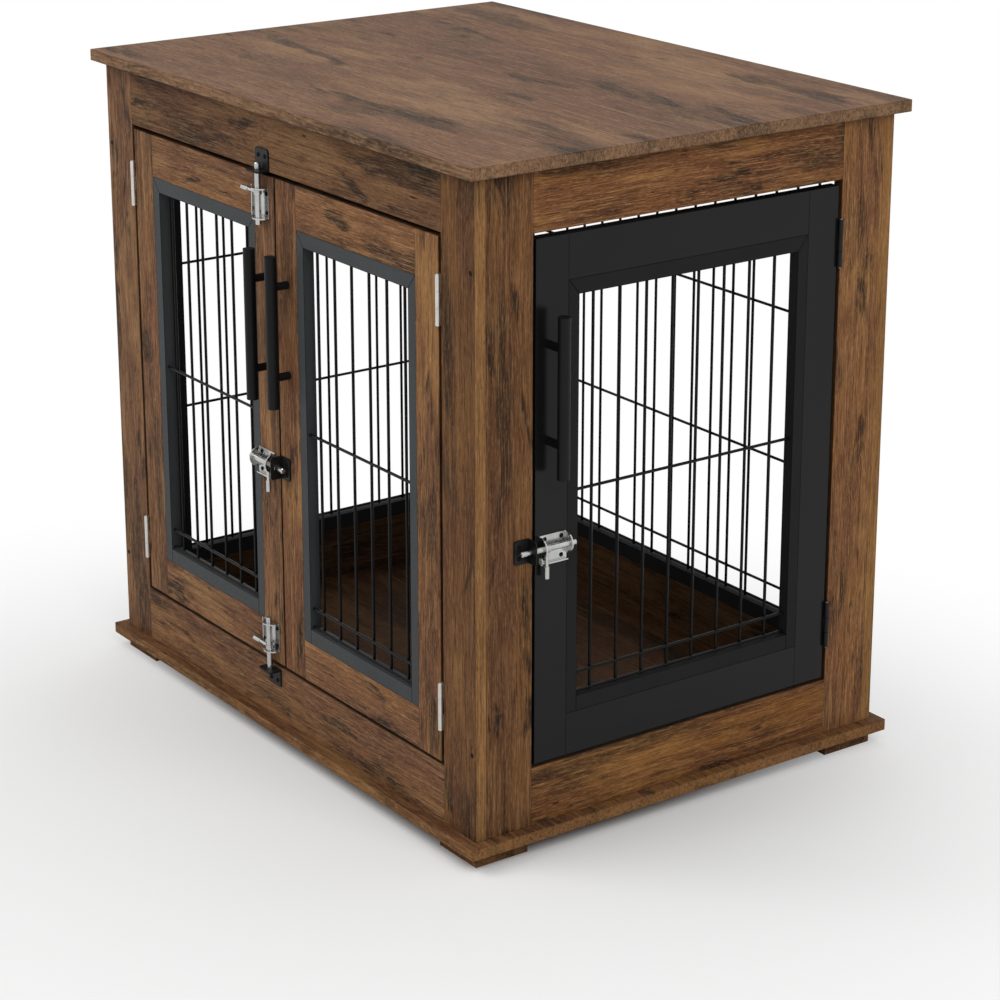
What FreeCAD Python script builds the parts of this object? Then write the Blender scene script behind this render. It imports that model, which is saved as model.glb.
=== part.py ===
import FreeCAD, Part
import math
import os
import re
import Sketcher

# A furniture-style pet crate: a boarded carcass with wire grilles, a pair of doors on the
# long side, a single door on one end, bar pulls, butt hinges and barrel bolts.
# X runs along the long side, the pair of doors faces -Y, the single door is on the +X end.

Vector = FreeCAD.Vector
Rotation = FreeCAD.Rotation

# Driving sizes in millimetres (angles in degrees).
SIZES = {
    # carcass
    "carcass_width": 700, "carcass_depth": 520, "carcass_height": 675,
    "board": 12, "overhang": 12, "edge_ease": 0.7,
    "foot_height": 14, "foot_side": 60, "post_width": 52, "rail_height": 59,
    # doors
    "hinge_gap": 4.5, "meeting_gap": 3, "free_gap": 3, "door_gap_low": 3.5, "door_gap_high": 4.5,
    "side_gap_high": 5.4, "stile": 37.2, "side_stile": 37, "door_head": 44, "side_head": 43.1,
    "door_foot": 42.5,
    # square tube set in the door windows and in the fixed panels
    "tube_side": 12.2, "tube_head": 15, "tube_sill": 15.5, "tube_depth": 12, "tube_wall": 1.2,
    "panel_side": 12.5, "panel_bar": 16,
    # wires
    "wire_radius": 1.5, "front_margin": 15.1, "side_margin": 22.35, "rear_margin": 31.25,
    "left_margin": 22.1, "row_depth": 4.2, "side_row_depth": 6.2, "weld_step": 2.6,
    "door_row_gap": 0.5, "door_row_step": 19.5, "door_row_lift": 7.5,
    "panel_row_gap": 1.5, "panel_row_step": 22, "panel_row_drop": 76.5, "panel_row_lift": 86.5,
    # bar pulls
    "handle_bar": 12, "handle_length": 154, "handle_spacing": 92, "handle_leg": 8,
    "handle_rise": 18.5, "handle_drop": 148.5,
    # butt hinges
    "hinge_height": 47.5, "hinge_rise": 2.2, "knuckle_wall": 1.04, "knuckle_middle": 16,
    "knuckle_play": 0.3, "leaf": 1.2, "leaf_start": 0.7, "leaf_margin": 0.5,
    "pin_radius": 1.3, "pin_end": 0.6, "pin_play": 0.06, "pin_seat": 0.02,
    "hinge_margin_high": 34.25, "hinge_margin_low": 33.75,
    # bolts: a plate with an ear at each end and a low lip on the lever's side
    "bolt_length": 31, "bolt_back": 11, "bolt_side": 17, "bolt_plate": 1.2, "bolt_round": 2,
    "ear_radius": 10, "ear_drop": 4, "ear_sweep": 180, "lip_play": 0.6,
    "rod_radius": 3, "rod_length": 62, "rod_rise": 6.5, "rod_tip": 0.8, "rod_play": 0.15,
    "rod_rest": 5, "lever_rear_gap": 3.1, "lever_front_gap": 1.5,
    "eye_wall": 0.93, "eye_length": 3.8, "eye_play": 0.07, "neck_radius": 1.7, "neck_play": 0.45,
    "knob_gap": 1, "knob_length": 12, "knob_radius": 2.5, "knob_round": 0.6,
    "bolt_drop": 38.5, "meeting_inset": 9.3, "keeper_inset": 4.3,
    "rail_keeper_gap": 16.5, "sill_keeper_gap": 19.5, "door_keeper_gap": 11.7,
    # keepers
    "rail_keeper_length": 22, "sill_keeper_length": 19, "door_keeper_length": 17, "keeper_width": 23.5,
    "keeper_plate": 1.6, "keeper_rise": 14, "keeper_round": 3, "keeper_play": 0.6,
    # screws
    "screw_radius": 1.4, "screw_depth": 9, "screw_head": 2.3, "screw_dome": 1.2,
    "screw_play": 0.2, "screw_inset": 4, "screw_setback": 6, "keeper_screw_step": 6,
    "post_screw_radius": 1.5, "post_screw_head": 2.2, "post_screw_sink": 1.7,
    "post_screw_proud": 0.3, "post_screw_length": 28,
    "post_screw_margin": 87,
}

doc = FreeCAD.newDocument("pet_crate")
sheet = doc.addObject("Spreadsheet::Sheet", "dims")
for row, (word, size) in enumerate(SIZES.items(), start=1):
    sheet.set("A%d" % row, word)
    sheet.set("B%d" % row, str(size))
    sheet.setAlias("B%d" % row, word)
doc.recompute()

NODES = []
UNIT = {"x": Vector(1, 0, 0), "y": Vector(0, 1, 0), "z": Vector(0, 0, 1)}

# Planes of the carcass. Pulls stand out on two sides only, so everything is moved by half the
# difference, which puts the origin under the middle of the whole object.
HALF_X = "(carcass_width/2 - overhang)"
HALF_Y = "(carcass_depth/2 - overhang)"
FLOOR = "(foot_height + board)"
CEILING = "(carcass_height - board)"
SILL = "(foot_height + board + rail_height)"
HEAD = "(carcass_height - board - rail_height)"
FRONT_JAMB = "(carcass_width/2 - overhang - post_width)"
END_JAMB = "(carcass_depth/2 - overhang - board - post_width)"
DOOR_LOW = "(%s + door_gap_low)" % SILL
DOOR_HIGH = "(%s - door_gap_high)" % HEAD
DOOR_MIDDLE = "((%s + %s)/2)" % (DOOR_LOW, DOOR_HIGH)
SHIFT = {
    "x": " - (handle_rise + handle_bar/2 - overhang)/2",
    "y": " + (handle_rise + handle_bar/2 - overhang)/2",
    "z": "",
}

# The four outer faces: the axis along the face, the axis square to it, which way it looks.
FACES = {
    "front": {"along": "x", "normal": "y", "sign": -1, "plane": HALF_Y},
    "rear": {"along": "x", "normal": "y", "sign": 1, "plane": HALF_Y},
    "right": {"along": "y", "normal": "x", "sign": 1, "plane": HALF_X},
    "left": {"along": "y", "normal": "x", "sign": -1, "plane": HALF_X},
}


def bind(thing, prop, text):
    thing.setExpression(prop, re.sub(r"[a-z][a-z_]+", r"dims.\g<0>", text))


def seat(thing, spot, turn=None):
    if turn is not None:
        thing.Placement = FreeCAD.Placement(Vector(), turn)
    for axis in "xyz":
        bind(thing, "Placement.Base." + axis, "%s%s" % (spot[axis], SHIFT[axis]))


def node(label, thing):
    thing.Label = label
    NODES.append(thing)
    return thing


def block(name, spans):
    """A box that runs between two positions on each axis."""
    thing = doc.addObject("Part::Box", name)
    for side, axis in (("Length", "x"), ("Width", "y"), ("Height", "z")):
        bind(thing, side, "(%s) - (%s)" % (spans[axis][1], spans[axis][0]))
    seat(thing, {axis: spans[axis][0] for axis in "xyz"})
    return thing


def pole(name, spot, way, length, radius, end_radius=None):
    """A round bar, or a cone when an end radius is given, that starts at a spot."""
    thing = doc.addObject("Part::Cone" if end_radius else "Part::Cylinder", name)
    bind(thing, "Height", length)
    if end_radius:
        bind(thing, "Radius1", radius)
        bind(thing, "Radius2", end_radius)
    else:
        bind(thing, "Radius", radius)
    seat(thing, spot, Rotation(UNIT["z"], way))
    return thing


def group(name, things):
    thing = doc.addObject("Part::Compound", name)
    thing.Links = things
    return thing


def join(name, things):
    thing = doc.addObject("Part::MultiFuse", name)
    thing.Shapes = things
    return thing


def cut(name, base, tool):
    thing = doc.addObject("Part::Cut", name)
    thing.Base = base
    thing.Tool = tool
    return thing


def level(face, depth):
    """Position square to a face, at a depth behind it (negative stands proud)."""
    side = FACES[face]
    return "%s(%s - (%s))" % ("" if side["sign"] > 0 else "-", side["plane"], depth)


def slab(face, name, along, high, depth):
    side = FACES[face]
    ends = (level(face, depth[0]), level(face, depth[1]))
    spans = {
        side["along"]: along,
        "z": high,
        side["normal"]: ends if side["sign"] < 0 else (ends[1], ends[0]),
    }
    return block(name, spans)


def point(face, along, high, depth):
    side = FACES[face]
    return {side["along"]: along, "z": high, side["normal"]: level(face, depth)}


def outward(face):
    side = FACES[face]
    return UNIT[side["normal"]] * side["sign"]


# Top and base boards: padded outlines with eased edges.
def board_body(label, low):
    body = doc.addObject("PartDesign::Body", label)
    outline = body.newObject("Sketcher::SketchObject", label + "_outline")
    plane = [item for item in body.Origin.OriginFeatures if item.Role == "XY_Plane"][0]
    outline.AttachmentSupport = [(plane, "")]
    outline.MapMode = "FlatFace"
    wide = SIZES["carcass_width"] / 2
    deep = SIZES["carcass_depth"] / 2
    corners = [
        Vector(-wide, -deep, 0), Vector(wide, -deep, 0), Vector(wide, deep, 0), Vector(-wide, deep, 0),
    ]
    for turn in range(4):
        outline.addGeometry(Part.LineSegment(corners[turn], corners[(turn + 1) % 4]), False)
    for turn in range(4):
        outline.addConstraint(Sketcher.Constraint("Coincident", turn, 2, (turn + 1) % 4, 1))
    for turn, kind in enumerate(("Horizontal", "Vertical", "Horizontal", "Vertical")):
        outline.addConstraint(Sketcher.Constraint(kind, turn))
    outline.addConstraint(Sketcher.Constraint("Symmetric", 0, 1, 1, 2, -1, 1))
    across = outline.addConstraint(Sketcher.Constraint("DistanceX", 0, 1, 0, 2, 2 * wide))
    back = outline.addConstraint(Sketcher.Constraint("DistanceY", 1, 1, 1, 2, 2 * deep))
    bind(outline, "Constraints[%d]" % across, "carcass_width")
    bind(outline, "Constraints[%d]" % back, "carcass_depth")
    pad = body.newObject("PartDesign::Pad", label + "_pad")
    pad.Profile = outline
    bind(pad, "Length", "board")
    doc.recompute()
    ease = body.newObject("PartDesign::Chamfer", label + "_ease")
    ease.Base = (pad, ["Edge%d" % (index + 1) for index in range(len(pad.Shape.Edges))])
    bind(ease, "Size", "edge_ease")
    body.Tip = ease
    seat(body, {"x": "0*board", "y": "0*board", "z": low})
    return node(label, body)


board_body("top_board", CEILING)
board_body("base_board", "foot_height")

feet = []
for side_x in (-1, 1):
    for side_y in (-1, 1):
        spans = {"z": ("0*board", "foot_height")}
        for axis, half, side in (("x", HALF_X, side_x), ("y", HALF_Y, side_y)):
            ends = ("(%s - foot_side)" % half, half)
            spans[axis] = ends if side > 0 else ("-" + ends[1], "-" + ends[0])
        feet.append(block("foot_%d" % len(feet), spans))
node("feet", group("feet", feet))


# Sliding bolts, shot into their keepers. Each has a slide direction, a direction in which its
# lever points and the direction in which it stands off the door; its origin is on the door's face.
def bolt(name, face, origin, slide, lever, keeper_kind):
    side = FACES[face]
    origin[side["normal"]] = level(face, "0*board")
    return {
        "name": name, "origin": origin, "slide": slide, "lever": lever,
        "proud": (side["normal"], side["sign"]),
        "keeper_at": "(bolt_length/2 + %s_keeper_gap)" % keeper_kind,
        "keeper_length": keeper_kind + "_keeper_length",
    }


STILE_MIDDLE = "(meeting_gap/2 + stile/2)"
BOLT_MIDDLE = "(%s - bolt_drop)" % DOOR_MIDDLE
BOLTS = [
    bolt("top_bolt", "front",
         {"x": "-" + STILE_MIDDLE, "z": "(%s - rail_keeper_gap - bolt_length/2)" % HEAD},
         ("z", 1), ("x", -1), "rail"),
    bolt("mid_bolt", "front",
         {"x": "-(meeting_inset + bolt_length/2)", "z": BOLT_MIDDLE},
         ("x", 1), ("z", -1), "door"),
    bolt("bottom_bolt", "front",
         {"x": "-" + STILE_MIDDLE, "z": "(%s + rail_keeper_gap + bolt_length/2)" % SILL},
         ("z", -1), ("x", -1), "sill"),
    bolt("side_bolt", "right",
         {"y": "-(%s + keeper_inset - door_keeper_gap - bolt_length/2)" % END_JAMB, "z": BOLT_MIDDLE},
         ("y", -1), ("z", -1), "door"),
]


def way(latch, key):
    axis, sign = latch[key]
    return UNIT[axis] * sign


def place(latch, slide, lever, proud):
    spot = {}
    for key, text in (("slide", slide), ("lever", lever), ("proud", proud)):
        axis, sign = latch[key]
        spot[axis] = "%s %s (%s)" % (latch["origin"][axis], "+" if sign > 0 else "-", text)
    return spot


def latch_block(name, latch, slide, lever, proud):
    spans = {}
    for key, ends in (("slide", slide), ("lever", lever), ("proud", proud)):
        axis, sign = latch[key]
        base = latch["origin"][axis]
        if sign > 0:
            spans[axis] = ("%s + (%s)" % (base, ends[0]), "%s + (%s)" % (base, ends[1]))
        else:
            spans[axis] = ("%s - (%s)" % (base, ends[1]), "%s - (%s)" % (base, ends[0]))
    return block(name, spans)


def latch_arc(name, latch, slide, radius, proud, start, sweep):
    """Part of a round bar along the slide, from the lever's side round towards the front."""
    lever = way(latch, "lever")
    front = way(latch, "proud")
    axis = lever.cross(front)
    angle = math.radians(start)
    first = lever * math.cos(angle) + front * math.sin(angle)
    second = front * math.cos(angle) - lever * math.sin(angle)
    thing = doc.addObject("Part::Cylinder", name)
    bind(thing, "Radius", radius)
    bind(thing, "Height", "(%s) - (%s)" % (slide[1], slide[0]))
    bind(thing, "Angle", sweep)
    begin = slide[0] if axis.dot(way(latch, "slide")) > 0 else slide[1]
    seat(thing, place(latch, begin, "0*board", proud), Rotation(first, second, axis))
    return thing


def tab(name, latch, spans, end, sign, across, corner):
    """A plate with the two corners rounded at one of its ends."""
    flat = [key for key in spans if key not in (end, across)][0]
    low, high = spans[end]
    line = "%s - %s" % (high, corner) if sign > 0 else "%s + %s" % (low, corner)
    edges = (spans[across][0] + " + " + corner, spans[across][1] + " - " + corner)
    parts = [
        latch_block(name + "_main", latch, **{**spans, end: (low, line) if sign > 0 else (line, high)}),
        latch_block(name + "_nose", latch, **{**spans, across: edges}),
    ]
    for index, edge in enumerate(edges):
        spot = place(latch, **{end: line, across: edge, flat: spans[flat][0]})
        thick = "(%s) - (%s)" % (spans[flat][1], spans[flat][0])
        parts.append(pole("%s_corner_%d" % (name, index), spot, way(latch, flat), thick, corner))
    return join(name, parts)


def signed(sign, text):
    return "%s(%s)" % ("" if sign > 0 else "-", text)


NIL = "0*board"
HALF = "bolt_length/2"
EYE_RADIUS = "(rod_radius + eye_play + eye_wall)"
EAR_SPRING = "(rod_rise - ear_drop)"
REAR_EAR = "(bolt_plate - bolt_length/2)"
FRONT_EAR = "(bolt_length/2 - bolt_plate)"
OPEN_AT = "(%s + lever_rear_gap + eye_length/2)" % REAR_EAR
LOCKED_AT = "(%s - lever_front_gap - eye_length/2)" % FRONT_EAR
ROD_END = "(bolt_length/2 + rod_rest + %s - %s)" % (LOCKED_AT, OPEN_AT)
NOTCH_HALF = "(neck_radius + neck_play)"
KNOB_AT = "(bolt_side + knob_gap)"
KNOB_END = "(bolt_side + knob_gap + knob_length)"
HOUSING_SCREWS = [
    (signed(side, "bolt_length/2 - screw_setback"), lever)
    for side in (-1, 1) for lever in ("-(bolt_back - screw_inset)", "bolt_side - bolt_plate - screw_inset")
]


def screw(name, latch, slide, lever, plate):
    """A round-headed wood screw that holds a plate of a given thickness."""
    front = way(latch, "proud")
    dome = pole(name + "_head", place(latch, slide, lever, plate), front, "screw_dome",
                "screw_head", "screw_radius")
    shank = pole(name + "_shank", place(latch, slide, lever, plate), front * -1,
                 "%s + screw_depth" % plate, "screw_radius")
    return join(name, [dome, shank])


def screw_hole(name, latch, slide, lever, plate):
    return pole(name, place(latch, slide, lever, "-bolt_plate"), way(latch, "proud"),
                "%s + 2*bolt_plate" % plate, "screw_radius + screw_play")


def housing(latch):
    name = latch["name"] + "_housing"
    ends = ("-" + HALF, HALF)
    flat = {"slide": ends, "lever": ("-bolt_back", "bolt_side"), "proud": (NIL, "bolt_plate")}
    parts = [
        tab(name + "_plate", latch, flat, "lever", -1, "slide", "bolt_round"),
        latch_block(name + "_lip", latch, ends, ("bolt_side - bolt_plate", "bolt_side"),
                    (NIL, "rod_rise - neck_radius - lip_play")),
    ]
    for index, span in enumerate((("-" + HALF, REAR_EAR), (FRONT_EAR, HALF))):
        parts.append(latch_block("%s_ear_%d" % (name, index), latch, span, ("-ear_radius", "ear_radius"),
                                 (NIL, EAR_SPRING)))
        parts.append(latch_arc("%s_crown_%d" % (name, index), latch, span, "ear_radius", EAR_SPRING, 0, "ear_sweep"))
    tools = [
        pole(name + "_bore", place(latch, "-bolt_length", NIL, "rod_rise"), way(latch, "slide"),
             "2*bolt_length", "rod_radius + rod_play"),
        latch_block(name + "_notch", latch,
                    ("%s - %s" % (LOCKED_AT, NOTCH_HALF), "%s + %s" % (LOCKED_AT, NOTCH_HALF)),
                    ("bolt_side - 2*bolt_plate", "bolt_side + bolt_plate"), ("bolt_plate", "rod_rise")),
    ]
    for index, (slide, lever) in enumerate(HOUSING_SCREWS):
        tools.append(screw_hole("%s_hole_%d" % (name, index), latch, slide, lever, "bolt_plate"))
    return node(name, cut(name, join(name + "_whole", parts), join(name + "_tools", tools)))


def housing_screws(latch):
    name = latch["name"] + "_screw"
    return [
        screw("%s_%d" % (name, index), latch, slide, lever, "bolt_plate")
        for index, (slide, lever) in enumerate(HOUSING_SCREWS)
    ]


def rod_and_lever(latch):
    name = latch["name"]
    slide = way(latch, "slide")
    lever = way(latch, "lever")
    shaft = pole(name + "_shaft", place(latch, ROD_END + " - rod_length", NIL, "rod_rise"), slide,
                 "rod_length - rod_tip", "rod_radius")
    tip = pole(name + "_tip", place(latch, ROD_END + " - rod_tip", NIL, "rod_rise"), slide,
               "rod_tip", "rod_radius", "rod_radius - rod_tip")
    node(name + "_rod", join(name + "_rod", [shaft, tip]))
    eye = pole(name + "_eye", place(latch, LOCKED_AT + " - eye_length/2", NIL, "rod_rise"), slide,
               "eye_length", EYE_RADIUS)
    neck = pole(name + "_neck", place(latch, LOCKED_AT, NIL, "rod_rise"), lever, KNOB_AT + " + knob_round", "neck_radius")
    knob = pole(name + "_knob", place(latch, LOCKED_AT, KNOB_AT, "rod_rise"), lever,
                "knob_length - knob_round", "knob_radius")
    cap = pole(name + "_cap", place(latch, LOCKED_AT, KNOB_END + " - knob_round", "rod_rise"), lever,
               "knob_round", "knob_radius", "knob_radius - knob_round")
    arm = join(name + "_arm", [eye, neck, knob, cap])
    hole = pole(name + "_eye_bore", place(latch, LOCKED_AT + " - eye_length", NIL, "rod_rise"), slide,
                "2*eye_length", "rod_radius + eye_play")
    node(name + "_lever", cut(name + "_lever", arm, hole))


def keeper(latch, name):
    """An angle plate with a hole in its standing leg for the bolt."""
    near = latch["keeper_at"]
    sides = ("-keeper_width/2", "keeper_width/2")
    flat = {"slide": (near, near + " + " + latch["keeper_length"]), "lever": sides, "proud": (NIL, "keeper_plate")}
    standing = {"slide": (near, near + " + keeper_plate"), "lever": sides, "proud": (NIL, "keeper_rise")}
    angle = join(name + "_angle", [
        tab(name + "_plate", latch, flat, "slide", 1, "lever", "keeper_round"),
        tab(name + "_leg", latch, standing, "proud", 1, "lever", "keeper_round"),
    ])
    tools = [pole(name + "_eye", place(latch, near + " - keeper_plate", NIL, "rod_rise"), way(latch, "slide"),
                  "3*keeper_plate", "rod_radius + keeper_play")]
    for index, side in enumerate((-1, 1)):
        tools.append(screw_hole("%s_hole_%d" % (name, index), latch, "%s + %s*2/3" % (near, latch["keeper_length"]),
                                signed(side, "keeper_screw_step"), "keeper_plate"))
    return cut(name, angle, join(name + "_tools", tools))


def keeper_screws(latch, name):
    return [
        screw("%s_%d" % (name, index), latch, "%s + %s*2/3" % (latch["keeper_at"], latch["keeper_length"]),
              signed(side, "keeper_screw_step"), "keeper_plate")
        for index, side in enumerate((-1, 1))
    ]


top_bolt, mid_bolt, bottom_bolt, side_bolt = BOLTS
for latch in BOLTS:
    housing(latch)
    rod_and_lever(latch)
node("front_keepers", group("front_keepers", [keeper(top_bolt, "top_keeper"), keeper(bottom_bolt, "bottom_keeper")]))
node("mid_keeper", keeper(mid_bolt, "mid_keeper"))
node("side_keeper", keeper(side_bolt, "side_keeper"))

# Screws: through the post boards, and in the plates of the bolts and keepers.
carcass_screws = []
for face in ("front", "rear"):
    for side in (-1, 1):
        for height in (CEILING + " - post_screw_margin", FLOOR + " + post_screw_margin"):
            name = "post_screw_%d" % len(carcass_screws)
            along = signed(side, HALF_X + " - board/2")
            top = point(face, along, height, "-post_screw_proud")
            head = pole(name + "_head", top, outward(face) * -1, "post_screw_proud + post_screw_sink", "post_screw_head")
            shank = pole(name + "_shank", top, outward(face) * -1, "post_screw_length", "post_screw_radius")
            carcass_screws.append(join(name, [head, shank]))
for latch in (top_bolt, bottom_bolt, side_bolt):
    carcass_screws += keeper_screws(latch, latch["name"] + "_keeper_screw")
carcass_screws = node("carcass_screws", group("carcass_screws", carcass_screws))
left_screws = housing_screws(top_bolt) + housing_screws(mid_bolt) + housing_screws(bottom_bolt)
left_screws = node("left_door_screws", group("left_door_screws", left_screws))
right_screws = node("right_door_screws", group("right_door_screws", keeper_screws(mid_bolt, "mid_keeper_screw")))
side_screws = node("side_door_screws", group("side_door_screws", housing_screws(side_bolt)))

# Corner posts: a board on the long side that covers the edge of a board on the end.
for long_face, depth_sign in (("front", -1), ("rear", 1)):
    for end_face, side in (("left", -1), ("right", 1)):
        label = "%s_%s_post" % (long_face, end_face)
        ends = (FRONT_JAMB, HALF_X)
        along = ends if side > 0 else ("-" + ends[1], "-" + ends[0])
        face_board = slab(long_face, label + "_face", along, (FLOOR, CEILING), (NIL, "board"))
        ends = (END_JAMB, "(%s - board)" % HALF_Y)
        along = ends if depth_sign > 0 else ("-" + ends[1], "-" + ends[0])
        end_board = slab(end_face, label + "_end", along, (FLOOR, CEILING), (NIL, "board"))
        node(label, group(label, [
            cut(label + "_face_drilled", face_board, carcass_screws),
            cut(label + "_end_drilled", end_board, carcass_screws),
        ]))

# Rails between the posts, above and below each opening.
for face in FACES:
    half = FRONT_JAMB if FACES[face]["along"] == "x" else END_JAMB
    for part_name, high in (("top", (HEAD, CEILING)), ("bottom", (FLOOR, SILL))):
        label = "%s_%s_rail" % (face, part_name)
        rail = slab(face, label + "_board", ("-" + half, half), high, (NIL, "board"))
        if face == "front":
            rail = cut(label, rail, carcass_screws)
        node(label, rail)


def tube_frame(label, face, along, high, side_bar, head_bar, sill_bar):
    """Four lengths of square tube: mitred at the top corners, the lower one butted."""
    flat = UNIT[FACES[face]["along"]]
    rise = UNIT["z"]
    deep = flat.cross(rise)
    start = "tube_depth" if deep.dot(outward(face)) > 0 else NIL
    low_in = "(%s + %s)" % (along[0], side_bar)
    high_in = "(%s - %s)" % (along[1], side_bar)
    head_in = "(%s - %s)" % (high[1], head_bar)
    sill_in = "(%s + %s)" % (high[0], sill_bar)

    def mitred(name, along_at, high_at, axes, inner, outer, across):
        thing = doc.addObject("Part::Wedge", name)
        thing.Ymin = 0
        thing.Zmin = 0
        thing.Z2min = 0
        for prop, text in (("Xmin", inner[0]), ("Xmax", inner[1]), ("X2min", outer[0]), ("X2max", outer[1]),
                           ("Ymax", across), ("Zmax", "tube_depth"), ("Z2max", "tube_depth")):
            bind(thing, prop, text)
        seat(thing, point(face, along_at, high_at, start), Rotation(*axes))
        return thing

    def hollow(name, solid, span_along, span_high):
        core = slab(face, name + "_core", span_along, span_high, ("tube_wall", "tube_depth - tube_wall"))
        return cut(name, solid, core)

    head = mitred(label + "_head_bar", NIL, head_in, (flat, rise, deep), (low_in, high_in), along, head_bar)
    low = mitred(label + "_low_bar", low_in, NIL, (rise, flat * -1, deep), (high[0], head_in), high, side_bar)
    far = mitred(label + "_far_bar", high_in, NIL, (rise * -1, flat, deep),
                 ("-" + head_in, "-" + high[0]), ("-" + high[1], "-" + high[0]), side_bar)
    sill = slab(face, label + "_sill_bar", (low_in, high_in), (high[0], sill_in), (NIL, "tube_depth"))
    tubes = [
        hollow(label + "_head", head, along, (head_in + " + tube_wall", high[1] + " - tube_wall")),
        hollow(label + "_low", low, (along[0] + " + tube_wall", low_in + " - tube_wall"), high),
        hollow(label + "_far", far, (high_in + " + tube_wall", along[1] + " - tube_wall"), high),
        hollow(label + "_sill", sill, (low_in, high_in), (high[0] + " + tube_wall", sill_in + " - tube_wall")),
    ]
    node(label, group(label, tubes))
    return (low_in, high_in), (sill_in, head_in)


def mesh(label, face, along, top, margin, count, rows, row_depth):
    """Upright wires welded behind cross wires; the lowest cross wire carries their ends."""
    side = FACES[face]
    middle = "((%s) + (%s))/2" % along
    pitch = "((%s) - (%s) - 2*%s)/(%d)" % (along[1], along[0], margin, count - 1)
    wires = []
    for index in range(count):
        step = index - (count - 1) / 2
        spot = point(face, "%s + (%s)*%s" % (middle, step, pitch), rows[-1] + " - wire_radius",
                     "%s + weld_step" % row_depth)
        wires.append(pole("%s_upright_%d" % (label, index), spot, UNIT["z"],
                          "%s - %s + wire_radius" % (top, rows[-1]), "wire_radius"))
    for index, row in enumerate(rows):
        wires.append(pole("%s_row_%d" % (label, index), point(face, along[0], row, row_depth),
                          UNIT[side["along"]], "(%s) - (%s)" % (along[1], along[0]), "wire_radius"))
    return node(label, join(label, wires))


# Heights of the cross wires in a window, from the highest down; some panels have a pair at the foot.
def panel_rows(window, doubled):
    middle = "((%s) + (%s))/2" % window
    lowest = "(%s + panel_row_gap + wire_radius)" % window[0]
    upper = (middle + " + panel_row_lift", middle + " - panel_row_drop")
    return upper + ((lowest + " + panel_row_step", lowest) if doubled else (lowest,))


def door_rows(window):
    lowest = "(%s + door_row_gap + wire_radius)" % window[0]
    return ("((%s) + (%s))/2 + door_row_lift" % window, lowest + " + door_row_step", lowest)


# Fixed grilles on the back and on the left end.
for label, face, half, margin, count, doubled in (
        ("rear_panel", "rear", FRONT_JAMB, "rear_margin", 16, True),
        ("left_panel", "left", END_JAMB, "left_margin", 10, False)):
    inside, height = tube_frame(label + "_frame", face, ("-" + half, half), (SILL, HEAD),
                                "panel_side", "panel_bar", "panel_bar")
    mesh(label + "_mesh", face, inside, height[1], margin, count, panel_rows(height, doubled), "row_depth")


def pull(label, face, along):
    middle = DOOR_HIGH + " - handle_drop"
    shaft = pole(label + "_bar", point(face, along, middle + " - handle_length/2", "-handle_rise"),
                 UNIT["z"], "handle_length", "handle_bar/2")
    legs = []
    for index, sign in enumerate(("-", "+")):
        leg = pole("%s_leg_%d" % (label, index),
                   point(face, along, "%s %s handle_spacing/2" % (middle, sign), NIL),
                   outward(face), "handle_rise", "handle_leg/2")
        legs.append(cut("%s_coped_%d" % (label, index), leg, shaft))
    return node(label, group(label, [shaft] + legs))


def hinge(name, face, axis, side, middle):
    """A butt hinge in the gap beside a door; side says where the door lies along the face."""
    upper = "(%s + hinge_height/2)" % middle
    lower = "(%s - hinge_height/2)" % middle
    split_up = "(%s + knuckle_middle/2)" % middle
    split_low = "(%s - knuckle_middle/2)" % middle

    def leaf_plate(part_name, toward, high, depth):
        edge = "%s %s hinge_gap/2" % (axis, "+" if toward > 0 else "-")
        inner = "%s %s (hinge_gap/2 - leaf)" % (axis, "+" if toward > 0 else "-")
        return slab(face, part_name, (inner, edge) if toward > 0 else (edge, inner), high, depth)

    def leaf_half(part_name, toward, knuckles, play):
        parts = [leaf_plate(part_name + "_plate", toward, (lower, upper), ("leaf_start", "board - leaf_margin"))]
        for index, high in enumerate(knuckles):
            parts.append(leaf_plate("%s_tab_%d" % (part_name, index), toward, high, ("-hinge_rise", "leaf_start")))
            parts.append(pole("%s_knuckle_%d" % (part_name, index), point(face, axis, high[0], "-hinge_rise"),
                              UNIT["z"], "(%s) - (%s)" % (high[1], high[0]), "pin_radius + pin_play + knuckle_wall"))
        bore = pole(part_name + "_bore", point(face, axis, lower + " - pin_end", "-hinge_rise"), UNIT["z"],
                    "hinge_height + 2*pin_end", "pin_radius + " + play)
        return cut(part_name, join(part_name + "_whole", parts), bore)

    fixed = leaf_half(name + "_fixed", -side, [(lower, split_low), (split_up, upper)], "pin_seat")
    moving = leaf_half(name + "_moving", side,
                       [(split_low + " + knuckle_play", split_up + " - knuckle_play")], "pin_play")
    pin = pole(name + "_pin", point(face, axis, lower + " - pin_end", "-hinge_rise"), UNIT["z"],
               "hinge_height + 2*pin_end", "pin_radius")
    return fixed, moving, pin


# Doors: two stiles, two rails, a tube frame with its mesh, a pull, and a pair of hinges.
HINGED = {"front": [], "right": []}
PINS = []


HINGE_MIDDLES = (
    "(%s - hinge_margin_high - hinge_height/2)" % DOOR_HIGH,
    "(%s + hinge_margin_low + hinge_height/2)" % DOOR_LOW,
)


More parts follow.
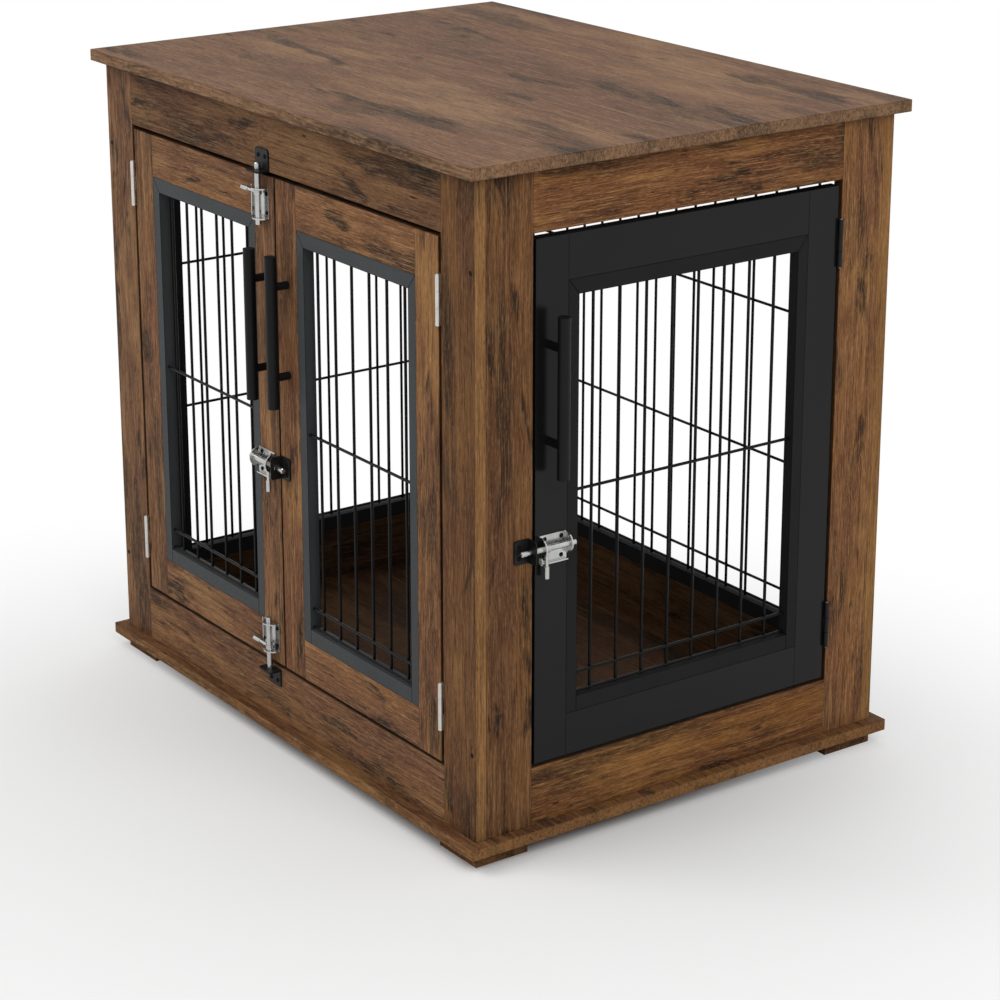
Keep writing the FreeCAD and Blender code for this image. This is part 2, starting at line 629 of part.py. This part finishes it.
def door(label, face, along, stile, free_side, screws, margin, count, row_depth, top_gap, head):
    names = ("low", "far")
    top = "(%s - %s)" % (HEAD, top_gap)
    spans = ((along[0], "(%s + %s)" % (along[0], stile)), ("(%s - %s)" % (along[1], stile), along[1]))
    stiles = []
    for index, span in enumerate(spans):
        timber = slab(face, "%s_stile_%s" % (label, names[index]), span, (DOOR_LOW, top), (NIL, "board"))
        if (index == 1) == (free_side > 0):
            timber = cut("%s_stile_%s_drilled" % (label, names[index]), timber, screws)
        stiles.append(timber)
    node(label + "_stiles", group(label + "_stiles", stiles))
    between = (spans[0][1], spans[1][0])
    rail_top = "(%s - %s)" % (top, head)
    rail_low = "(%s + door_foot)" % DOOR_LOW
    node(label + "_rails", group(label + "_rails", [
        slab(face, label + "_rail_head", between, (rail_top, top), (NIL, "board")),
        slab(face, label + "_rail_foot", between, (DOOR_LOW, rail_low), (NIL, "board")),
    ]))
    inside, height = tube_frame(label + "_frame", face, between, (rail_low, rail_top),
                                "tube_side", "tube_head", "tube_sill")
    mesh(label + "_mesh", face, inside, height[1], margin, count, door_rows(height), row_depth)
    free = spans[1] if free_side > 0 else spans[0]
    pull(label + "_handle", face, "((%s) + (%s))/2" % free)
    hinge_edge = along[0] if free_side > 0 else along[1]
    axis = "(%s %s hinge_gap/2)" % (hinge_edge, "-" if free_side > 0 else "+")
    leaves = []
    for index, middle in enumerate(HINGE_MIDDLES):
        fixed, moving, pin = hinge("%s_hinge_%d" % (label, index), face, axis, free_side, middle)
        HINGED[face].append(fixed)
        leaves.append(moving)
        PINS.append(pin)
    node(label + "_hinge_leaves", group(label + "_hinge_leaves", leaves))


LEFT_SPAN = ("(-%s + hinge_gap)" % FRONT_JAMB, "-meeting_gap/2")
RIGHT_SPAN = ("meeting_gap/2", "(%s - hinge_gap)" % FRONT_JAMB)
SIDE_SPAN = ("(-%s + free_gap)" % END_JAMB, "(%s - hinge_gap)" % END_JAMB)
door("left_door", "front", LEFT_SPAN, "stile", 1, left_screws, "front_margin", 6, "row_depth",
     "door_gap_high", "door_head")
door("right_door", "front", RIGHT_SPAN, "stile", -1, right_screws, "front_margin", 6, "row_depth",
     "door_gap_high", "door_head")
door("side_door", "right", SIDE_SPAN, "side_stile", -1, side_screws, "side_margin", 8, "side_row_depth",
     "side_gap_high", "side_head")
node("front_hinge_leaves", group("front_hinge_leaves", HINGED["front"]))
node("side_hinge_leaves", group("side_hinge_leaves", HINGED["right"]))
node("hinge_pins", group("hinge_pins", PINS))

doc.recompute()

for thing in doc.Objects:
    if "Invalid" in thing.State or "Error" in thing.State:
        raise RuntimeError("%s did not build" % thing.Name)
for thing in NODES:
    if thing.Shape.isNull() or not thing.Shape.isValid() or not thing.Shape.Solids:
        raise RuntimeError("%s has no valid shape" % thing.Label)

os.makedirs("parts", exist_ok=True)
for thing in NODES:
    thing.Shape.exportStep("parts/%s.step" % thing.Label)
print("%d nodes, %d solids" % (len(NODES), sum(len(thing.Shape.Solids) for thing in NODES)))
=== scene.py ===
import math

import bpy
import bmesh
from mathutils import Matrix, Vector


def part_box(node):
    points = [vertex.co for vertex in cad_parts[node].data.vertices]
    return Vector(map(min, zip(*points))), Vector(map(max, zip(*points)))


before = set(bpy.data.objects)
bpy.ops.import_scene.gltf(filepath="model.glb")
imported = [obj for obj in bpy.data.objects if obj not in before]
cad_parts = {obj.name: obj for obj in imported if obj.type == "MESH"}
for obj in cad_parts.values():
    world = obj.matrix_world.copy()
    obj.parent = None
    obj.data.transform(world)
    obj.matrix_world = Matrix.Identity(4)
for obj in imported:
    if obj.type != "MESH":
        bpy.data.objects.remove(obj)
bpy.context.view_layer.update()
MM = 0.001


def linear(code):
    """An sRGB hex colour as the linear colour that a shader takes."""
    channels = [int(code[i:i + 2], 16) / 255 for i in (1, 3, 5)]
    return [c / 12.92 if c <= 0.04045 else ((c + 0.055) / 1.055) ** 2.4 for c in channels] + [1.0]


def add(tree, kind, sockets=None, **settings):
    """Adds a node, sets it up and links what feeds it."""
    made = tree.nodes.new("ShaderNode" + kind)
    for name, value in settings.items():
        setattr(made, name, value)
    for name, value in (sockets or {}).items():
        if isinstance(value, bpy.types.NodeSocket):
            tree.links.new(value, made.inputs[name])
        else:
            made.inputs[name].default_value = value
    return made


def blank(name):
    """An empty material and its node tree."""
    finish = bpy.data.materials.new(name)
    finish.use_nodes = True
    finish.node_tree.nodes.clear()
    return finish, finish.node_tree


def dress(node, finish):
    """Gives a CAD node its finish."""
    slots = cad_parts[node].data.materials
    slots.clear()
    slots.append(finish)


# A rounded normal this close to the flat one counts as away from every edge.
FLUSH = 0.999


def edge_nearness(tree, reach, fade, most=1.0):
    """How close a point is to an edge of its piece, and the normal rounded over that edge."""
    rounded = add(tree, "Bevel", {"Radius": reach}, samples=8).outputs[0]
    flat = add(tree, "NewGeometry").outputs["Normal"]
    facing = add(tree, "VectorMath", {0: rounded, 1: flat}, operation="DOT_PRODUCT").outputs["Value"]
    edge = add(tree, "MapRange", {"Value": facing, "From Min": FLUSH, "From Max": fade, "To Max": most},
               interpolation_type="SMOOTHSTEP").outputs[0]
    return edge, rounded


def within(tree, spot, limits):
    """1 where a vector lies between the limits on each axis that has them, 0 elsewhere."""
    axes = add(tree, "SeparateXYZ", {0: spot}).outputs
    share = 1.0
    for axis, (low, high) in limits.items():
        near = add(tree, "Math", {0: axes["xyz".index(axis)], 1: (low + high) / 2, 2: (high - low) / 2},
                   operation="COMPARE").outputs[0]
        share = add(tree, "Math", {0: share, 1: near}, operation="MULTIPLY").outputs[0]
    return share


def stretched(grain, length, width):
    """Scales of a noise whose marks are so long along the grain and so wide across it, in millimetres."""
    scales = [1 / (width * MM)] * 3
    scales["xyz".index(grain)] = 1 / (length * MM)
    return scales


# Brown boards. For each: the way its grain runs, the axis square to its face, and its tone and
# strength of colour beside the others.
BOARDS = {
    # The top board's weaker colour is a painted sheen, the grey veil of its satin reflection.
    "top_board": ("x", "z", 0.86, 0.84),
    "base_board": ("x", "z", 0.70, 1.0),
    "feet": ("x", "z", 0.7, 1.0),
    "front_left_post": ("z", "y", 0.97, 0.92),
    "front_right_post": ("z", "y", 0.72, 0.99),
    "rear_left_post": ("z", "y", 0.9, 0.96),
    "rear_right_post": ("z", "y", 1.09, 1.0),
    "front_top_rail": ("x", "y", 0.70, 0.92),
    "front_bottom_rail": ("x", "y", 0.98, 0.95),
    "rear_top_rail": ("x", "y", 0.9, 0.96),
    "rear_bottom_rail": ("x", "y", 0.9, 0.96),
    "left_top_rail": ("y", "x", 0.9, 0.96),
    "left_bottom_rail": ("y", "x", 0.9, 0.96),
    "right_top_rail": ("y", "x", 1.07, 1.04),
    "right_bottom_rail": ("y", "x", 0.93, 1.06),
    "left_door_stiles": ("z", "y", 1.04, 0.94),
    "right_door_stiles": ("z", "y", 1.06, 0.98),
    "left_door_rails": ("x", "y", 1.0, 0.94),
    "right_door_rails": ("x", "y", 1.06, 0.95),
}
BOARD = 12 * MM
# Moves the pattern on from one board to the next, so that no two boards look alike.
NEXT_BOARD = (0.71, 1.37, 0.53)

# Length and width in millimetres of each mark in the printed wood. Fibres and flecks are drawn
# nearly a millimetre wide, coarser than in print, so that they show.
WOOD_MARKS = {
    "band": (420, 40), "blush": (260, 90), "patch": (190, 60), "shade": (200, 40), "smudge": (84, 21),
    "streak": (150, 4.2), "fibre": (30, 0.85), "fleck": (7, 0.9), "crack": (34, 2.8),
}
FINE = ("streak", "fibre", "fleck", "crack")
RAGGED = ("smudge", "crack")
WOOD_GROUND = "#65432d"
# Each step lays one mark over the colour so far: mark, start, full, strength, colour.
WOOD_PATCHES = [
    ("band", 0.42, 0.60, 0.65, "#835a34"),
    ("blush", 0.48, 0.64, 0.50, "#5c3829"),
    ("patch", 0.53, 0.67, 0.60, "#8f683f"),
    ("patch", 0.46, 0.33, 0.62, "#3f2b20"),
    ("shade", 0.54, 0.66, 0.76, "#34251c"),
    ("smudge", 0.57, 0.66, 0.86, "#281f1a"),
]
WOOD_GRAIN = [
    ("streak", 0.52, 0.66, 0.50, "#352114"),
    ("streak", 0.45, 0.31, 0.42, "#a0774a"),
    ("fibre", 0.52, 0.66, 0.28, "#bc9263"),
    ("fibre", 0.48, 0.34, 0.46, "#21130b"),
    ("fleck", 0.53, 0.68, 0.24, "#b8926a"),
    ("fleck", 0.47, 0.32, 0.34, "#21130b"),
    ("crack", 0.65, 0.71, 0.90, "#160d08"),
]
# How far the grain wanders from straight, and over what distance.
FINE_SWAY = 8 * MM
PATCH_SWAY = 26 * MM
WANDER = 150 * MM
# The soft marks are larger on the wide boards than on the narrow ones.
SPREAD = {"top_board": 2.3, "base_board": 1.8}
NARROW_SPREAD = 1.2
# The end grain of the flat boards is at least this tall, in millimetres.
END_GRAIN = 2.5
# The banding on a board's edges: its colour, how much of it shows, and its tone, by the axis
# square to the face.
BANDING = "#8f683c"
BANDING_SHARE = {"y": 0.62, "z": 0.34}
BANDING_TONE = {"y": 0.93, "z": 0.84}
# Painted shade: the same paper is painted much darker inside the crate and in the gaps beside the doors,
# where shade falls.
INNER_SHADE_TONE = 0.30
SKIN = 0.5 * MM
INTERIOR = {
    "x": (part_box("front_left_post")[0][0] + SKIN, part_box("front_right_post")[1][0] - SKIN),
    "y": (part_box("front_left_post")[0][1] + SKIN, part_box("rear_left_post")[1][1] - SKIN),
    "z": (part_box("base_board")[1][2] - SKIN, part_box("top_board")[0][2] + SKIN),
}


def lay_marks(tree, colour, mark, steps):
    """Lays the marks over a colour one after the other."""
    for word, start, full, strength, code in steps:
        share = add(tree, "MapRange", {
            "Value": mark[word], "From Min": start, "From Max": full, "To Max": strength,
        }, interpolation_type="SMOOTHSTEP").outputs[0]
        colour = add(tree, "Mix", {0: share, 6: colour, 7: linear(code)}, data_type="RGBA").outputs[2]
    return colour


def banding_span(board, flat):
    """Where the banding of a post or a flat board lies along its flat axis. Posts are L-shaped, so
    theirs covers only the board that faces front or rear."""
    low, high = [corner["xyz".index(flat)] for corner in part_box(board)]
    if board.startswith("front"):
        high = low + BOARD
    if board.startswith("rear"):
        low = high - BOARD
    return low, high


def rustic_board(board, offset):
    """Rustic brown wood-grain paper on particle board, pressed matt. The eye sees long golden and
    brown bands, soft dark smudges, fine fibres and flecks along the board and short cracks. The
    edges of the posts and of the flat boards have a lighter golden banding."""
    grain, flat, tone, depth = BOARDS[board]
    spread = SPREAD.get(board, NARROW_SPREAD)
    finish, tree = blank("rustic_brown_laminate_" + board)
    here = add(tree, "TexCoord").outputs
    spot = add(tree, "VectorMath", {0: here["Object"], 1: offset}).outputs[0]
    drift = add(tree, "TexNoise", {"Vector": spot, "Scale": 1 / WANDER, "Detail": 2}).outputs["Color"]
    drift = add(tree, "VectorMath", {0: drift, 1: (0.5, 0.5, 0.5)}, operation="SUBTRACT").outputs[0]

    mark = {}
    for word, (length, width) in WOOD_MARKS.items():
        fine = word in FINE
        larger = 1 if fine else spread
        scales = stretched(grain, length * larger, width * larger)
        if flat == "z":
            scales[2] = 1 / (max(width * larger, END_GRAIN) * MM)
        sway = FINE_SWAY if fine else PATCH_SWAY
        bent = add(tree, "VectorMath", {0: drift, 1: (sway,) * 3, 2: spot},
                   operation="MULTIPLY_ADD").outputs[0]
        laid = add(tree, "Mapping", {"Vector": bent, "Scale": scales}).outputs[0]
        mark[word] = add(tree, "TexNoise", {
            "Vector": laid, "Scale": 1.0, "Detail": 4 if fine else 3, "Roughness": 0.6,
            "Distortion": 0.35 if word in RAGGED else 0.0,
        }).outputs["Fac"]

    colour = lay_marks(tree, linear(WOOD_GROUND), mark, WOOD_PATCHES)
    on_edge = within(tree, here["Normal"], {flat: (-0.5, 0.5)})
    if board.endswith(("post", "board")):
        covered = within(tree, here["Object"], {flat: banding_span(board, flat)})
        banded = add(tree, "Math", {0: on_edge, 1: covered}, operation="MULTIPLY").outputs[0]
        share = add(tree, "Math", {0: banded, 1: BANDING_SHARE[flat]}, operation="MULTIPLY").outputs[0]
        colour = add(tree, "Mix", {0: share, 6: colour, 7: linear(BANDING)}, data_type="RGBA").outputs[2]
        tone = add(tree, "Mix", {0: banded, 2: tone, 3: BANDING_TONE[flat]}).outputs[0]
    # Painted shade: inside the crate, and on the door boards' edges inside it, in the gaps beside the
    # doors, the paper is painted darker.
    inner_shade = within(tree, here["Object"], INTERIOR)
    if "door" in board:
        inner_shade = add(tree, "Math", {0: inner_shade, 1: on_edge}, operation="MULTIPLY").outputs[0]
    tone = add(tree, "Mix", {0: inner_shade, 2: tone, 3: INNER_SHADE_TONE}).outputs[0]
    colour = lay_marks(tree, colour, mark, WOOD_GRAIN)
    # On the top board the strength of colour below 1 is a painted sheen.
    colour = add(tree, "HueSaturation", {"Value": tone, "Saturation": depth, "Color": colour}).outputs[0]

    # Painted shade: a dark line along every edge of the board, for the shade in the seams and gaps between
    # pieces.
    edge, rounded = edge_nearness(tree, 0.9 * MM, 0.88, 0.5)
    colour = add(tree, "Mix", {0: edge, 6: colour, 7: linear("#2a1a0e")}, data_type="RGBA").outputs[2]
    rough = add(tree, "MapRange", {
        "Value": mark["streak"], "From Min": 0.3, "From Max": 0.7, "To Min": 0.72, "To Max": 0.54,
    }).outputs[0]
    relief = add(tree, "Math", {0: mark["fibre"], 1: mark["streak"]}, operation="ADD").outputs[0]
    bump = add(tree, "Bump", {
        "Strength": 0.3, "Distance": 0.25 * MM, "Height": relief, "Normal": rounded,
    }).outputs[0]
    shade = add(tree, "BsdfPrincipled", {
        "Base Color": colour, "Roughness": rough, "Normal": bump, "IOR": 1.5, "Specular IOR Level": 0.06,
    })
    add(tree, "OutputMaterial", {0: shade.outputs[0]})
    return finish


for step, board in enumerate(BOARDS):
    dress(board, rustic_board(board, [step * move for move in NEXT_BOARD]))


# Length and width in millimetres of the pressed pores and of the clouds in the black foil.
FOIL_PORE = (60, 1.6)
FOIL_CLOUD = (240, 60)


def black_board(name, grain, offset):
    """Black melamine foil on particle board, satin. The eye sees an even near-black, hardly a trace
    of pressed grain, and a thin black line of painted shade along its edges, where two pieces meet."""
    finish, tree = blank(name)
    spot = add(tree, "VectorMath", {0: add(tree, "TexCoord").outputs["Object"], 1: offset}).outputs[0]
    marks = []
    for length, width in (FOIL_PORE, FOIL_CLOUD):
        laid = add(tree, "Mapping", {"Vector": spot, "Scale": stretched(grain, length, width)}).outputs[0]
        marks.append(add(tree, "TexNoise", {"Vector": laid, "Scale": 1.0, "Detail": 3}).outputs["Fac"])
    pore, cloud = marks
    share = add(tree, "MapRange", {"Value": cloud, "From Min": 0.3, "From Max": 0.7}).outputs[0]
    colour = add(tree, "Mix", {0: share, 6: linear("#0d0d0d"), 7: linear("#101011")},
                 data_type="RGBA").outputs[2]
    share = add(tree, "MapRange", {
        "Value": pore, "From Min": 0.55, "From Max": 0.75, "To Max": 0.25,
    }).outputs[0]
    colour = add(tree, "Mix", {0: share, 6: colour, 7: linear("#0a0a0a")}, data_type="RGBA").outputs[2]
    edge = edge_nearness(tree, 1.0 * MM, 0.95)[0]
    # Painted shade: the edges are painted black, for the shade in the seams between pieces.
    colour = add(tree, "Mix", {0: edge, 6: colour, 7: linear("#010101")}, data_type="RGBA").outputs[2]
    rough = add(tree, "MapRange", {
        "Value": pore, "From Min": 0.3, "From Max": 0.7, "To Min": 0.20, "To Max": 0.25,
    }).outputs[0]
    rough = add(tree, "Math", {0: rough, 1: edge}, operation="MAXIMUM").outputs[0]
    bump = add(tree, "Bump", {"Strength": 0.03, "Distance": 0.1 * MM, "Height": pore}).outputs[0]
    shade = add(tree, "BsdfPrincipled", {
        "Base Color": colour, "Roughness": rough, "Normal": bump, "IOR": 1.5, "Specular IOR Level": 0.19,
    })
    add(tree, "OutputMaterial", {0: shade.outputs[0]})
    return finish


dress("side_door_stiles", black_board("black_laminate_stiles", "z", (0.0, 0.0, 0.0)))
dress("side_door_rails", black_board("black_laminate_rails", "y", (0.4, 0.9, 0.2)))


# Widths in millimetres of the side, head and sill bars of a tube frame, and half a seam's width.
DOOR_BARS = (12.2, 15.0, 15.5)
PANEL_BARS = (12.5, 16.0, 16.0)
SEAM = 0.4 * MM


def tube_joints(tree, node, along, bars):
    """The seams of a tube frame: mitres at the two upper corners, butt joints at the two lower ones."""
    side, head, sill = [bar * MM for bar in bars]
    diagonal = math.hypot(side, head)
    low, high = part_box(node)
    axis = "xyz".index(along)
    middle = (low[axis] + high[axis]) / 2
    axes = add(tree, "SeparateXYZ", {0: add(tree, "TexCoord").outputs["Object"]}).outputs
    across = add(tree, "Math", {0: axes[axis], 1: middle}, operation="SUBTRACT").outputs[0]
    across = add(tree, "Math", {0: across}, operation="ABSOLUTE").outputs[0]
    reach = add(tree, "Math", {0: high[axis] - middle, 1: across}, operation="SUBTRACT").outputs[0]
    fall = add(tree, "Math", {0: axes[2], 1: high[2]}, operation="SUBTRACT").outputs[0]
    fall = add(tree, "Math", {0: fall, 1: side / diagonal}, operation="MULTIPLY").outputs[0]
    slant = add(tree, "Math", {0: reach, 1: head / diagonal, 2: fall}, operation="MULTIPLY_ADD").outputs[0]
    place = add(tree, "CombineXYZ", {0: slant, 1: reach, 2: axes[2]}).outputs[0]
    mitre = within(tree, place, {"x": (-SEAM, SEAM)})
    butt = within(tree, place, {"y": (side - SEAM, side + SEAM), "z": (low[2], low[2] + sill)})
    return add(tree, "Math", {0: mitre, 1: butt}, operation="MAXIMUM").outputs[0]


def powder_coat(name, code, line, rough_low, rough_high, gloss, frame_joints=None):
    """Powder-coated steel, baked. The eye sees a soft even colour with a fine orange-peel ripple,
    drawn at 2.4 mm so that it shows, and a thin dark line: painted shade along the edges, and the dark
    joints of a tube frame."""
    finish, tree = blank(name)
    spot = add(tree, "TexCoord").outputs["Object"]
    peel = add(tree, "TexNoise", {"Vector": spot, "Scale": 1 / (2.4 * MM), "Detail": 2}).outputs["Fac"]
    cloud = add(tree, "TexNoise", {"Vector": spot, "Scale": 1 / (55 * MM), "Detail": 3}).outputs["Fac"]
    share = add(tree, "MapRange", {
        "Value": cloud, "From Min": 0.35, "From Max": 0.65, "To Max": 0.5,
    }).outputs[0]
    dull = [c * 0.72 for c in linear(code)[:3]] + [1.0]
    colour = add(tree, "Mix", {0: share, 6: linear(code), 7: dull}, data_type="RGBA").outputs[2]
    edge = edge_nearness(tree, 0.9 * MM, 0.95)[0]
    if frame_joints:
        seams = tube_joints(tree, *frame_joints)
        edge = add(tree, "Math", {0: edge, 1: seams}, operation="MAXIMUM").outputs[0]
    # The line colour is painted shade along the edges, and the frame's own dark joints at its seams.
    colour = add(tree, "Mix", {0: edge, 6: colour, 7: linear(line)}, data_type="RGBA").outputs[2]
    rough = add(tree, "MapRange", {
        "Value": peel, "From Min": 0.3, "From Max": 0.7, "To Min": rough_low, "To Max": rough_high,
    }).outputs[0]
    rough = add(tree, "Math", {0: rough, 1: edge}, operation="MAXIMUM").outputs[0]
    bump = add(tree, "Bump", {"Strength": 0.2, "Distance": 0.12 * MM, "Height": peel}).outputs[0]
    shade = add(tree, "BsdfPrincipled", {
        "Base Color": colour, "Roughness": rough, "Normal": bump, "IOR": 1.5, "Specular IOR Level": gloss,
    })
    add(tree, "OutputMaterial", {0: shade.outputs[0]})
    return finish


# Size in millimetres of the drawing lines in pressed steel, and of the clouds in its plating.
DRAWN = (2.0, 2.0, 16)
PLATE_CLOUD = 14


def nickel_plate(name, code, cloud_code, rough_low, rough_high):
    """Nickel-plated pressed steel. The eye sees a smooth grey metal with faint drawing lines and cloudy
    patches, and edges made bright by a painted highlight."""
    finish, tree = blank(name)
    spot = add(tree, "TexCoord").outputs["Object"]
    drawn = add(tree, "Mapping", {"Vector": spot, "Scale": [1 / (size * MM) for size in DRAWN]}).outputs[0]
    lines = add(tree, "TexNoise", {"Vector": drawn, "Scale": 1.0, "Detail": 2}).outputs["Fac"]
    cloud = add(tree, "TexNoise", {
        "Vector": spot, "Scale": 1 / (PLATE_CLOUD * MM), "Detail": 3,
    }).outputs["Fac"]
    share = add(tree, "MapRange", {
        "Value": cloud, "From Min": 0.4, "From Max": 0.7, "To Max": 0.4,
    }).outputs[0]
    colour = add(tree, "Mix", {0: share, 6: linear(code), 7: linear(cloud_code)},
                 data_type="RGBA").outputs[2]
    edge = edge_nearness(tree, 0.45 * MM, 0.85, 0.7)[0]
    # Painted highlight: the edges are painted near-white.
    colour = add(tree, "Mix", {0: edge, 6: colour, 7: linear("#ececea")}, data_type="RGBA").outputs[2]
    rough = add(tree, "MapRange", {
        "Value": lines, "From Min": 0.3, "From Max": 0.7, "To Min": rough_low, "To Max": rough_high,
    }).outputs[0]
    shade = add(tree, "BsdfPrincipled", {"Base Color": colour, "Metallic": 1.0, "Roughness": rough})
    add(tree, "OutputMaterial", {0: shade.outputs[0]})
    return finish


# Coats of the tube frames: colour, colour of the painted edge shade and of the joints, lowest and highest
# roughness, gloss.
TUBE_COATS = {
    "grey": ("#353839", "#060606", 0.50, 0.62, 0.20),
    "black": ("#1a1a1b", "#010101", 0.54, 0.64, 0.10),
}
TUBE_FRAMES = {
    "left_door_frame": ("grey", "x", DOOR_BARS),
    "right_door_frame": ("grey", "x", DOOR_BARS),
    "side_door_frame": ("black", "y", DOOR_BARS),
    "rear_panel_frame": ("black", "x", PANEL_BARS),
    "left_panel_frame": ("black", "y", PANEL_BARS),
}
for node, (coat, along, bars) in TUBE_FRAMES.items():
    name = "%s_powder_coated_%s" % (coat, node)
    dress(node, powder_coat(name, *TUBE_COATS[coat], (node, along, bars)))

black_wire = powder_coat("black_powder_coated_wire", "#080808", "#080808", 0.28, 0.38, 0.13)
black_pull = powder_coat("black_powder_coated_pull", "#0d0d0e", "#080808", 0.42, 0.52, 0.16)
black_steel = powder_coat("black_painted_keeper", "#0e0e0f", "#060606", 0.44, 0.55, 0.22)
black_oxide = powder_coat("black_oxide_screw", "#070707", "#070707", 0.5, 0.6, 0.10)
bolt_plate = nickel_plate("nickel_plated_bolt", "#bebebd", "#979796", 0.20, 0.27)
hinge_plate = nickel_plate("nickel_plated_hinge", "#cfccc6", "#b4b2ad", 0.30, 0.42)

for node in ("rear_panel_mesh", "left_panel_mesh", "left_door_mesh", "right_door_mesh", "side_door_mesh"):
    dress(node, black_wire)
for node in ("left_door_handle", "right_door_handle", "side_door_handle"):
    dress(node, black_pull)
for node in ("front_keepers", "mid_keeper", "side_keeper", "side_hinge_leaves", "side_door_hinge_leaves"):
    dress(node, black_steel)
for node in ("carcass_screws", "left_door_screws", "right_door_screws", "side_door_screws"):
    dress(node, black_oxide)
for node in ("front_hinge_leaves", "left_door_hinge_leaves", "right_door_hinge_leaves", "hinge_pins"):
    dress(node, hinge_plate)
for bolt in ("top", "mid", "bottom", "side"):
    for piece in ("housing", "rod", "lever"):
        dress("%s_bolt_%s" % (bolt, piece), bolt_plate)


# Floor, backdrop and light. The shadow is strongest on the floor before the near corner and fades
# to white between these distances from there.
SHADOW_CENTRE = (0.3, -0.42, 0.0)
SHADOW_FADE = (0.35, 1.15)
WHITE = (1, 1, 1, 1)


def seen_as_backdrop(tree):
    """1 for what the camera sees, straight or in a reflection or through glass; 0 for other light."""
    path = add(tree, "LightPath").outputs
    seen = add(tree, "Math", {0: path["Is Camera Ray"], 1: path["Is Glossy Ray"]},
               operation="MAXIMUM").outputs[0]
    return add(tree, "Math", {0: seen, 1: path["Is Transmission Ray"]}, operation="MAXIMUM").outputs[0]


def studio_sheet():
    """A matt white sheet. Close to the crate it takes the shadow; further off the eye sees plain white."""
    finish, tree = blank("white_studio_sheet")
    spot = add(tree, "TexCoord").outputs["Object"]
    away = add(tree, "VectorMath", {0: spot, 1: SHADOW_CENTRE}, operation="DISTANCE").outputs["Value"]
    far = add(tree, "MapRange", {
        "Value": away, "From Min": SHADOW_FADE[0], "From Max": SHADOW_FADE[1],
    }, interpolation_type="SMOOTHSTEP").outputs[0]
    share = add(tree, "Math", {0: far, 1: seen_as_backdrop(tree)}, operation="MULTIPLY").outputs[0]
    sheet = add(tree, "BsdfDiffuse", {"Color": linear("#e2e2e2")}).outputs[0]
    white = add(tree, "Emission", {"Color": WHITE, "Strength": 1.0}).outputs[0]
    add(tree, "OutputMaterial", {0: add(tree, "MixShader", {0: share, 1: sheet, 2: white}).outputs[0]})
    return finish


FLOOR_REACH = 8.0
mesh = bpy.data.meshes.new("studio_floor")
shape = bmesh.new()
bmesh.ops.create_grid(shape, x_segments=2, y_segments=2, size=FLOOR_REACH)
shape.to_mesh(mesh)
shape.free()
mesh.materials.append(studio_sheet())
floor = bpy.data.objects.new("studio_floor", mesh)
bpy.context.scene.collection.objects.link(floor)

# Softboxes: place and width in metres, and power in watts. All face the middle of the crate.
MIDDLE = Vector((0, 0, 0.33))
SOFTBOXES = {
    "front_softbox": ((-0.9, -2.3, 2.6), 2.2, 58),
    "end_softbox": ((2.4, -0.4, 2.45), 2.2, 55),
    "top_softbox": ((-0.3, 0.9, 2.9), 1.8, 12),
}
for name, (place, width, watts) in SOFTBOXES.items():
    lamp = bpy.data.lights.new(name, "AREA")
    lamp.shape = "SQUARE"
    lamp.size = width
    lamp.energy = watts
    stand = bpy.data.objects.new(name, lamp)
    stand.location = place
    stand.rotation_euler = (MIDDLE - Vector(place)).to_track_quat("-Z", "Y").to_euler()
    bpy.context.scene.collection.objects.link(stand)

# A white room that lights the crate from all sides, and less strongly than it looks.
AMBIENT = 0.46
world = bpy.data.worlds.new("white_room")
bpy.context.scene.world = world
world.use_nodes = True
room = world.node_tree
room.nodes.clear()
ambient = add(room, "Background", {"Color": WHITE, "Strength": AMBIENT}).outputs[0]
white = add(room, "Background", {"Color": WHITE, "Strength": 1.0}).outputs[0]
lit = add(room, "MixShader", {0: seen_as_backdrop(room), 1: ambient, 2: white}).outputs[0]
add(room, "OutputWorld", {0: lit})

# The camera stands where the photograph was taken: degrees it looks down, and degrees about Z.
LOOKS_DOWN = 17.451
TURN = 54.472
lens = bpy.data.cameras.new("photograph")
lens.sensor_width = 36
lens.lens = 102.27
lens.shift_y = -0.1
camera = bpy.data.objects.new("photograph", lens)
camera.location = (2.30895, -1.62585, 1.2196)
camera.rotation_euler = (math.radians(90 - LOOKS_DOWN), 0, math.radians(TURN))
bpy.context.scene.collection.objects.link(camera)
bpy.context.scene.camera = camera

bpy.context.scene.view_settings.view_transform = "Standard"
